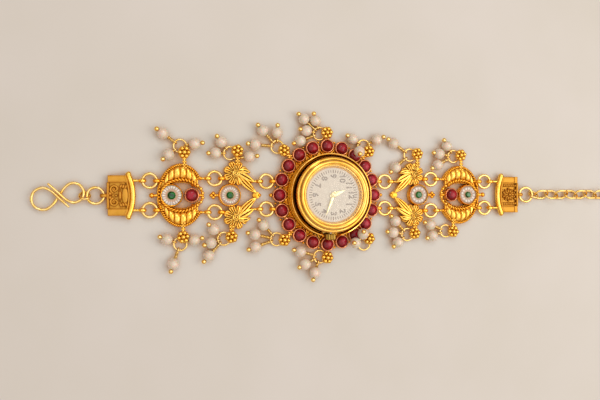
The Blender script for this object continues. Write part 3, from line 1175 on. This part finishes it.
def buildCrescent(side):
    # the frame, and the lobes and beads that are burnished on it
    spec = crescent
    shape, lobes = newShape(), newShape()
    z = flatZ["link"]
    low, top = flatZ["castLow"], flatZ["castTop"]
    for sign in (1, -1):
        slab(shape, crescentOutline(sign), low, top, 0.12)
        addMelonLobe(lobes, sign, low, top)
        # rope border: slanting strands, one against the next
        for i in range(spec["strands"]):
            angle = spec["strandStart"] + spec["strandSweep"] * i / (spec["strands"] - 1)
            spot = ellipsePoint(spec["a"] - 0.5, spec["b"] - 0.5, angle, top + 0.12)
            slope = math.degrees(math.atan2(spec["b"] * math.cos(math.radians(angle)),
                                            -spec["a"] * math.sin(math.radians(angle))))
            bead(shape, (spot.x, sign * spot.y, spot.z), spec["strandR"], 10, (1.1, 0.62, 0.9),
                 sign * (slope + spec["strandLean"]))
        # slanting gadroons along the window
        for i in range(spec["gadroons"]):
            angle = spec["gadroonStart"] + spec["gadroonSweep"] * i / (spec["gadroons"] - 1)
            spot = ellipsePoint(spec["windowA"] + 0.2, spec["windowB"] + 0.85, angle, top + 0.4)
            if spot.x > spec["gapX"] + 0.4:
                bead(shape, (spot.x, sign * spot.y, spot.z), spec["gadroonR"], 12, (1.15, 0.52, 0.8),
                     sign * (angle + spec["gadroonLean"]))
        # a row of seeds inside them
        for i in range(spec["seeds"]):
            angle = spec["seedStart"] + spec["seedSweep"] * i / (spec["seeds"] - 1)
            spot = ellipsePoint(spec["windowA"] - 0.05, spec["windowB"] - 0.02, angle, top + 0.05)
            if spot.x > spec["gapX"] - 0.2:
                bead(shape, (spot.x, sign * spot.y, spot.z), spec["seedR"], 8)
        # tie from the bead arc to the lobe, with a small leaf on it
        tieX = spec["rubyX"] - 0.4
        tube(shape, [(tieX, sign * 3.25, z), (tieX, sign * spec["tieY"], z)], spec["tieR"], 10)
        for k in range(3):
            leaf = (spec["rubyX"] - 1.3 + 0.9 * k, sign * (5.0 - 0.25 * k), top + 0.3)
            bead(shape, leaf, spec["leafR"], 10, (1, 0.6, 0.9), sign * 60)
        linkEye(lobes, spec["innerEyeX"], sign * eyes["rowY"][2], spec["innerEyeX"] + 4.2)
        linkEye(shape, spec["outerEyeX"], sign * eyes["rowY"][3], spec["outerEyeX"] - 2.4)
        bead(shape, (spec["innerEyeX"] + 2.3, sign * eyes["rowY"][2], z + 0.15), 0.62, 12)
    for x, radius in ((spec["enamelX"], spec["enamelR"]), (spec["rubyX"], rubies["r"])):
        slab(shape, ovalOutline(x, 0, radius + seat["reach"], radius + seat["reach"], 0, 40), low, top, 0.1)
        addSeat(shape, x, radius)
    stone = Vector((spec["rubyX"], 0, top - 0.35))
    arc = [stone + turnPoint(spec["arcR"], 90 + 180 * i / 24) for i in range(25)]
    tube(shape, arc, spec["arcWireR"], 10)
    count = spec["arcBeads"]
    beadRow(lobes, [Vector((spec["rubyX"], 0, top + 0.05))
                    + turnPoint(spec["arcR"] + 0.04, 98 + 164 * i / (count - 1)) for i in range(count)],
            spec["arcBeadR"], 12)
    tube(shape, [(spec["rubyX"] - spec["arcR"], 0, z), (spec["rubyX"], 0, z)], 0.5, 10)
    tube(shape, [(spec["x"] + spec["windowA"], 0, z), (spec["beadX"], 0, z)], 0.45, 10)
    bead(shape, (spec["beadX"], 0, z), spec["beadR"], 16)
    count = spec["rimBeads"]
    beadRow(shape, [ellipsePoint(spec["a"] - 0.55, spec["b"] - 0.6, -22 + 44 * i / (count - 1), top + 0.2)
                    for i in range(count)], spec["rimBeadR"], 10)
    finishPiece("crescent_cast_" + side, shape, castGilt, "crescent_" + side,
                ["crescent_frame_" + side], flip=side == "left")
    if side == "left":
        mirrorX(lobes)
    stationFlowers(lobes, "crescent", side, spec["b"] * 0.83)
    finishPiece("crescent_lobes_" + side, lobes, brightGilt, "crescent_" + side)
    shape = newShape()
    addCollar(shape, Vector((spec["rubyX"], 0, 0)), top + seat["rise"], 0)
    finishPiece("crescent_collar_" + side, shape, roseGilt, "crescent_" + side,
                flip=side == "left")
    shape = newShape()
    addCabochon(shape, spec["rubyX"], 0, top)
    finishPiece("crescent_cabochon_" + side, shape, rubyGlass, "crescent_" + side,
                ["crescent_ruby_" + side], flip=side == "left")


def addMelonLobe(shape, sign, low, top):
    # a domed lobe, fluted like a melon, between the rope border and the gadroons
    spec = crescent
    steps = spec["ribs"] * 10
    rings = []
    for i in range(steps + 1):
        share = i / steps
        angle = spec["lobeStart"] + (spec["lobeEnd"] - spec["lobeStart"]) * share
        outer = ellipsePoint(spec["a"] - 0.95, spec["b"] - 0.95, angle)
        inner = ellipsePoint(spec["windowA"] + 0.1, spec["windowB"] + 1.45, angle)
        along = (share * spec["ribs"]) % 1 * 2 - 1
        flute = math.sqrt(max(0.0, 1 - along * along))
        ends = math.sin(math.pi * min(1, max(0, 0.06 + 0.88 * share))) ** 0.5
        ring = [Vector((outer.x, sign * outer.y, low)), Vector((inner.x, sign * inner.y, low))]
        for k in range(13):
            s = k / 12
            point = inner + (outer - inner) * s
            swell = math.sin(math.pi * (0.08 + 0.84 * s)) ** 0.6
            rise = ends * swell * (0.25 + spec["lobeRise"] * (0.4 + 0.6 * flute))
            ring.append(Vector((point.x, sign * point.y, top + rise)))
        rings.append(ring)
    skin(shape, rings)


for side in ("left", "right"):
    buildLotus(side)
    buildEnamel(lotus["enamelX"], lotus["enamelR"], side, "lotus")
    buildCrescent(side)
    buildEnamel(crescent["enamelX"], crescent["enamelR"], side, "crescent")
print("lotus and crescent stations built")

# End block

block = {"innerX": 65.1, "outerX": 71.9, "half": 6.4, "lobeH": 2.3, "arcBulge": 1.5, "barW": 1.1, "ballR": 0.85,
         "eyeX": 61.15, "claspEyeX": 73.05, "rimR": 0.14, "barR": 0.95, "flangeR": 0.34, "lipR": 0.4,
         "lipHalf": 3.9, "tongueHalf": 3.2}


def boxOutline(x0, x1, y0, y1):
    return [(x0, y0), (x1, y0), (x1, y1), (x0, y1)]


def buildEndBlock(side):
    spec = block
    shape, eyeBands = newShape(), newShape()
    low, top = flatZ["castLow"], flatZ["castTop"]
    midX = (spec["innerX"] + spec["outerX"]) / 2
    inner, outer, half, lobe = spec["innerX"], spec["outerX"], spec["half"], spec["lobeH"]
    slab(shape, boxOutline(inner, outer, -half, half), low, top - 0.35, 0.1)
    for sign in (1, -1):
        # plain satin lobe with a thin raised border
        y0, y1 = sorted((sign * (half - lobe), sign * half))
        slab(shape, boxOutline(inner + 0.2, outer, y0, y1), top - 0.4, top + 0.35, 0.22)
        for y in (y0 + 0.16, y1 - 0.16):
            tube(shape, [(inner + 0.6, y, top + 0.36), (outer - 0.2, y, top + 0.36)], spec["rimR"], 8)
        linkEye(eyeBands, spec["eyeX"], sign * eyes["rowY"][3], inner + 0.4)
        bead(eyeBands, (inner + 0.37, sign * (half + 0.42), top), spec["ballR"], 16)
        if side == "right":
            slab(shape, boxOutline(outer - 1.3, outer, y0 - 0.02, y1 + 0.02), top, top + 0.62, 0.2)
    if side == "left":
        addScrollPanel(shape, midX, top)
    else:
        addRosette(shape, midX, top)
    # curved bar, rounded and burnished, with a flange on the side of the panel
    reach = half + spec["ballR"] / 2
    bulgeR = (reach ** 2 + spec["arcBulge"] ** 2) / (2 * spec["arcBulge"])
    arcX = inner - spec["arcBulge"] + bulgeR
    limit = math.degrees(math.asin(reach / bulgeR))
    for part, offset, radius, height in ((eyeBands, 0, spec["barR"], top - 0.15),
                                         (shape, 1.2, spec["flangeR"], top + 0.1)):
        arcR = bulgeR - spec["barW"] / 2 - offset
        arc = [Vector((arcX, 0, height)) + turnPoint(arcR, 180 - limit + 2 * limit * i / 24) for i in range(25)]
        tube(part, arc, radius, 12)
    tongue, lip = spec["tongueHalf"], spec["lipHalf"]
    slab(shape, boxOutline(inner - 1.1, inner + 1.1, -tongue, tongue), low, top - 0.2, 0.1)
    tube(shape, [(outer - 0.05, -lip + 2 * lip * k / 10, top + 0.1) for k in range(11)], spec["lipR"], 10)
    linkEye(shape, spec["claspEyeX"], 0, outer - 0.45)
    finishPiece("end_block_cast_" + side, shape, satinGilt, "block_" + side,
                ["end_block_" + side], flip=side == "left")
    finishPiece("end_block_bar_" + side, eyeBands, brightGilt, "block_" + side,
                flip=side == "left")


scrollPanel = {"curlX": 1.35, "curlY": 2.05, "curlR": 1.35, "curlWireR": 0.42, "knobX": 2.7, "knobY": 0.62,
               "knobR": 0.62, "budX": -0.6, "budY": 2.95, "budPitch": 0.75, "budR": 0.62, "ridgeX": -0.35,
               "ridge": ((-1.7, 0), (-0.8, 0.55), (0.9, 0.55), (1.8, 0)), "fanX": -1.9, "fanWide": 0.95,
               "fanHalf": 2.6, "heartX": 0.85, "heartR": 0.5}


def addScrollPanel(shape, midX, top):
    # two scrolls back to back beside a tall ridge, with beads and deep gaps between them
    spec = scrollPanel
    z = top - 0.05
    for sign in (1, -1):
        eye = Vector((midX + spec["curlX"], sign * spec["curlY"], z))
        curl = [eye + turnPoint(spec["curlR"] - 1.0 * k / 26, sign * (-70 + 19 * k)) for k in range(27)]
        tube(shape, curl, [spec["curlWireR"] - 0.12 * k / 26 for k in range(27)], 10)
        bead(shape, eye + Vector((0, 0, 0.1)), spec["curlWireR"], 12)
        bead(shape, (midX + spec["knobX"], sign * spec["knobY"], z + 0.25), spec["knobR"], 14)
        for k in range(3):
            bud = (midX + spec["budX"] - spec["budPitch"] * k, sign * (spec["budY"] - 0.1 * k), z + 0.15)
            bead(shape, bud, spec["budR"], 12, (0.75, 1.25, 0.8), sign * 20)
    ridge = [(midX + spec["ridgeX"], y, z + rise) for y, rise in spec["ridge"]]
    tube(shape, ridge, [0.3, 0.5, 0.5, 0.3], 12)
    fan = ovalOutline(midX + spec["fanX"], 0, spec["fanWide"], spec["fanHalf"], 0, 32)
    slab(shape, fan, top - 0.4, top + 0.35, 0.3)
    bead(shape, (midX + spec["heartX"], 0, z + 0.1), spec["heartR"], 12)


rosette = {"petals": 10, "petalOut": 1.25, "petalR": 0.72, "granuleOut": 2.15, "granuleR": 0.38, "heartR": 0.52,
           "boss": [(0, -0.4), (2.1, -0.4), (1.95, 0.1), (1.2, 0.5), (0, 0.55)], "rowBeads": 8, "rowX": -2.55,
           "rowPitch": 0.73, "rowY": 3.2, "rowBeadR": 0.46, "cornerX": 2.6, "cornerY": 1.5, "cornerR": 0.55}


def addRosette(shape, midX, top):
    # spiky rosette on a low boss, with granules round it
    spec = rosette
    middle = Vector((midX, 0, top))
    turned(shape, [(r, top + rise) for r, rise in spec["boss"]], 32, Matrix.Translation((midX, 0, 0)))
    for i in range(spec["petals"]):
        angle = 360 / spec["petals"] * i
        petal = middle + turnPoint(spec["petalOut"], angle, 0.42)
        bead(shape, petal, spec["petalR"], 12, (1.1, 0.5, 0.72), angle)
        granule = middle + turnPoint(spec["granuleOut"], angle + 180 / spec["petals"], 0.12)
        bead(shape, granule, spec["granuleR"], 10)
    bead(shape, (midX, 0, top + 0.75), spec["heartR"], 12)
    for sign in (1, -1):
        for k in range(spec["rowBeads"]):
            spot = (midX + spec["rowX"] + spec["rowPitch"] * k, sign * spec["rowY"], top + 0.02)
            bead(shape, spot, spec["rowBeadR"], 10, (0.8, 1.15, 0.8), 25 * (-1) ** k)
        for way in (1, -1):
            corner = (midX + way * spec["cornerX"], sign * spec["cornerY"], top)
            bead(shape, corner, spec["cornerR"], 12, (1, 0.8, 0.8), 45 * sign * way)


for side in ("left", "right"):
    buildEndBlock(side)
print("end blocks built")

# Clasp rings, hook and extender chain

clasp = {"ringX": 75.6, "ringMidR": 2.55, "ringWireR": 0.45, "smallX": 78.84, "smallMidR": 1.6,
         "smallWireR": 0.35, "smallTilt": 42, "linkHalf": 2.5, "linkHalfW": 1.75, "linkWire": 0.385,
         "pitch": 4.1, "firstX": 82.03, "tilt": 40, "endMidR": 0.88, "endWireR": 0.28, "ballR": 1.5,
         "endCap": [(0, 0), (0.62, 0), (0.55, 0.25), (0.3, 0.35), (0, 0.35)]}


def buildClaspRings():
    for sign, ring, small in ((-1, "clasp_ring", "clasp_small_ring"), (1, "chain_ring", "chain_small_ring")):
        shape = newShape()
        start = 80 if sign < 0 else 250
        hoop(shape, (sign * clasp["ringX"], 0, flatZ["link"]), clasp["ringMidR"], clasp["ringWireR"],
             start=start + 6, sweep=350, sides=16, steps=56)
        finishPiece(ring + "_wire", shape, wireGilt, ring, [ring])
        shape = newShape()
        hoop(shape, (clasp["smallX"], 0, flatZ["link"]), clasp["smallMidR"], clasp["smallWireR"], "Y", 0,
             clasp["smallTilt"], start=95, sweep=350, sides=14, steps=44)
        finishPiece(small + "_wire", shape, wireGilt, small, [small], flip=sign < 0)


def addChainLink(shape, index):
    arcR = clasp["linkHalfW"]
    half = clasp["linkHalf"] - arcR
    tilt = -clasp["tilt"] if index % 2 else clasp["tilt"]
    place = (Matrix.Translation((clasp["firstX"] + clasp["pitch"] * index, 0, flatZ["link"]))
             @ Matrix.Rotation(math.radians(tilt), 4, "X"))
    points = []
    for side in (1, -1):
        for k in range(13):
            turn = (-90 if side > 0 else 90) + 15 * k
            points.append(place @ (Vector((side * half, 0, 0)) + turnPoint(arcR, turn)))
    tube(shape, points, clasp["linkWire"], 12, True)


def buildChain():
    for group in range(3):
        shape = newShape()
        for k in range(3):
            addChainLink(shape, group * 3 + k)
        name = "chain_links_%d" % (group + 1)
        finishPiece(name + "_wire", shape, wireGilt, name, [name])
    shape = newShape()
    addChainLink(shape, 9)
    endX = clasp["firstX"] + clasp["pitch"] * 9 + clasp["linkHalf"] - clasp["linkWire"]
    loopX = endX + clasp["endMidR"] - 0.24 + clasp["endWireR"]
    hoop(shape, (loopX, 0, flatZ["link"]), clasp["endMidR"], clasp["endWireR"], "Y", steps=28, sides=10)
    ballX = loopX + clasp["endMidR"] + clasp["ballR"]
    bead(shape, (ballX, 0, flatZ["link"]), clasp["ballR"], 24)
    turned(shape, clasp["endCap"], 20,
           Matrix.Translation((loopX + 1.3, 0, flatZ["link"])) @ Matrix.Rotation(math.radians(-90), 4, "Y"))
    finishPiece("chain_end_wire", shape, wireGilt, "chain_end", ["chain_end"])


hook = {"rightR": 3.05, "leftR": 3.4, "rightY": 0.9, "spanX": 9.05, "spanY": 1.85, "offset": 0.42,
        "endAngle": 43, "endLength": 7.2, "lifts": (0.27, 0.72, 1.53), "drop": 0.35, "wireR": 0.45,
        "bendPoints": 6}


def smoothLine(points, steps=8):
    # an even curve through all the points
    padded = [points[0] * 2 - points[1]] + points + [points[-1] * 2 - points[-2]]
    line = []
    for p0, p1, p2, p3 in zip(padded, padded[1:], padded[2:], padded[3:]):
        for k in range(steps):
            t = k / steps
            line.append(((p1 * 2) + (p2 - p0) * t + (p0 * 2 - p1 * 5 + p2 * 4 - p3) * t ** 2
                         + (p1 * 3 - p0 - p2 * 3 + p3) * t ** 3) / 2)
    return line + [points[-1]]


def buildHook():
    spec = hook
    bx = -(clasp["smallX"] + spec["offset"] + math.sqrt(spec["rightR"] ** 2 - spec["rightY"] ** 2))
    right = Vector((bx, spec["rightY"], flatZ["link"]))
    left = Vector((bx - spec["spanX"], spec["rightY"] - spec["spanY"], flatZ["link"]))
    span = math.hypot(spec["spanX"], spec["spanY"])
    spine = math.degrees(math.atan2(spec["spanY"], spec["spanX"])
                         + math.asin((spec["leftR"] + spec["rightR"]) / span))
    turn = 180 + spec["endAngle"] + spine
    run = turnPoint(spec["endLength"], -spec["endAngle"])
    halves = []
    for centre, radius, start, way in ((left, spec["leftR"], 90 - spec["endAngle"], run),
                                       (right, spec["rightR"], 270 - spec["endAngle"], -run)):
        count = spec["bendPoints"]
        curve = [centre + turnPoint(radius, start + turn * i / count) for i in range(count + 1)]
        lifts = [Vector((0, 0, lift)) for lift in spec["lifts"]]        # the free end rises towards its tip
        curve[0] = curve[0] + lifts[0]
        middle = curve[0] + way / 2 + lifts[1]
        tip = curve[0] + way + lifts[2]
        halves.append([tip, middle] + curve)
    dip = (halves[0][-1] + halves[1][-1]) / 2 - Vector((0, 0, spec["drop"]))
    line = smoothLine(halves[0] + [dip] + halves[1][::-1])
    shape = newShape()
    count = len(line)
    thin = [spec["wireR"] * min(1, 0.82 + 0.02 * min(i, count - 1 - i)) for i in range(count)]
    tube(shape, line, thin, 14)
    finishPiece("s_hook_wire", shape, wireGilt, "s_hook", ["s_hook"], 60)


buildClaspRings()
buildChain()
buildHook()
print("clasp, hook and chain built")


# Pearl drops

def addPearl(shape, place):
    spec = dropSizes
    r, bore = spec["pearlR"], spec["boreR"]
    wide, long = grain.uniform(0.975, 1.0), grain.uniform(0.97, 1.0)
    start = math.degrees(math.asin((bore + 0.1) / r))
    profile = [(bore, -r * 0.9)]
    for k in range(17):
        t = math.radians(start + (180 - 2 * start) * k / 16)
        profile.append((r * wide * math.sin(t), -r * long * math.cos(t)))
    profile.append((bore, r * 0.9))
    turned(shape, profile, 32, place)


def buildCluster(name, origin, heading, drops):
    spec = dropSizes
    offset = Vector((*origin, 0)) + turnPoint(ballFlower["eyeOffset"], heading)
    centre = offset + turnPoint(spec["ringMidR"], heading) + Vector((0, 0, flatZ["drop"]))
    wire, pearls = newShape(), newShape()
    hoop(wire, centre, spec["ringMidR"], spec["ringWireR"], start=heading + 158, sweep=352, sides=12, steps=48)
    for angle, dropHeading, lift, share in drops:
        place = (Matrix.Translation(centre + turnPoint(spec["ringMidR"], angle))
                 @ Matrix.Rotation(math.radians(dropHeading), 4, "Z")
                 @ Matrix.Rotation(math.radians(-lift), 4, "Y"))
        reach = share * spec["reach"] - spec["ringMidR"]
        ballX = reach + spec["pearlR"] + spec["ballR"] * 0.8
        stand = Matrix.Rotation(math.radians(90), 4, "X")
        loop = [place @ stand @ turnPoint(spec["loopMidR"], 15 * k) for k in range(24)]
        tube(wire, loop, spec["pinR"], 10, True)
        tube(wire, [place @ Vector((x, 0, 0)) for x in (spec["loopMidR"], ballX / 2, ballX)], spec["pinR"], 10)
        bead(wire, place @ Vector((ballX, 0, 0)), spec["ballR"], 20)
        # the wire's tail, wrapped round its neck down to the pearl
        free = reach - spec["pearlR"] - spec["loopMidR"] - 0.1
        turns = max(1.0, free / spec["wrapPitch"])
        count = int(turns * 12) + 1
        coil = []
        for k in range(count):
            share = k / (count - 1)
            angleOn = math.tau * turns * share
            wide = spec["pinR"] + spec["wrapR"] * 0.9
            coil.append(place @ Vector((spec["loopMidR"] + 0.12 + free * share, wide * math.cos(angleOn),
                                        wide * math.sin(angleOn))))
        tube(wire, coil, spec["wrapR"], 7)
        addPearl(pearls, place @ Matrix.Translation((reach, 0, 0)) @ Matrix.Rotation(math.radians(90), 4, "Y"))
    node, body = "pearl_drops_" + name, "drops_" + name
    finishPiece("drop_wires_" + name, wire, wireGilt, body, [node])
    finishPiece("pearls_" + name, pearls, pearlGlass, body, [node], 60)


for name, (origin, heading, drops) in clusters.items():
    buildCluster(name, origin, heading, drops)
print("pearl drops strung")

print("sizes written")
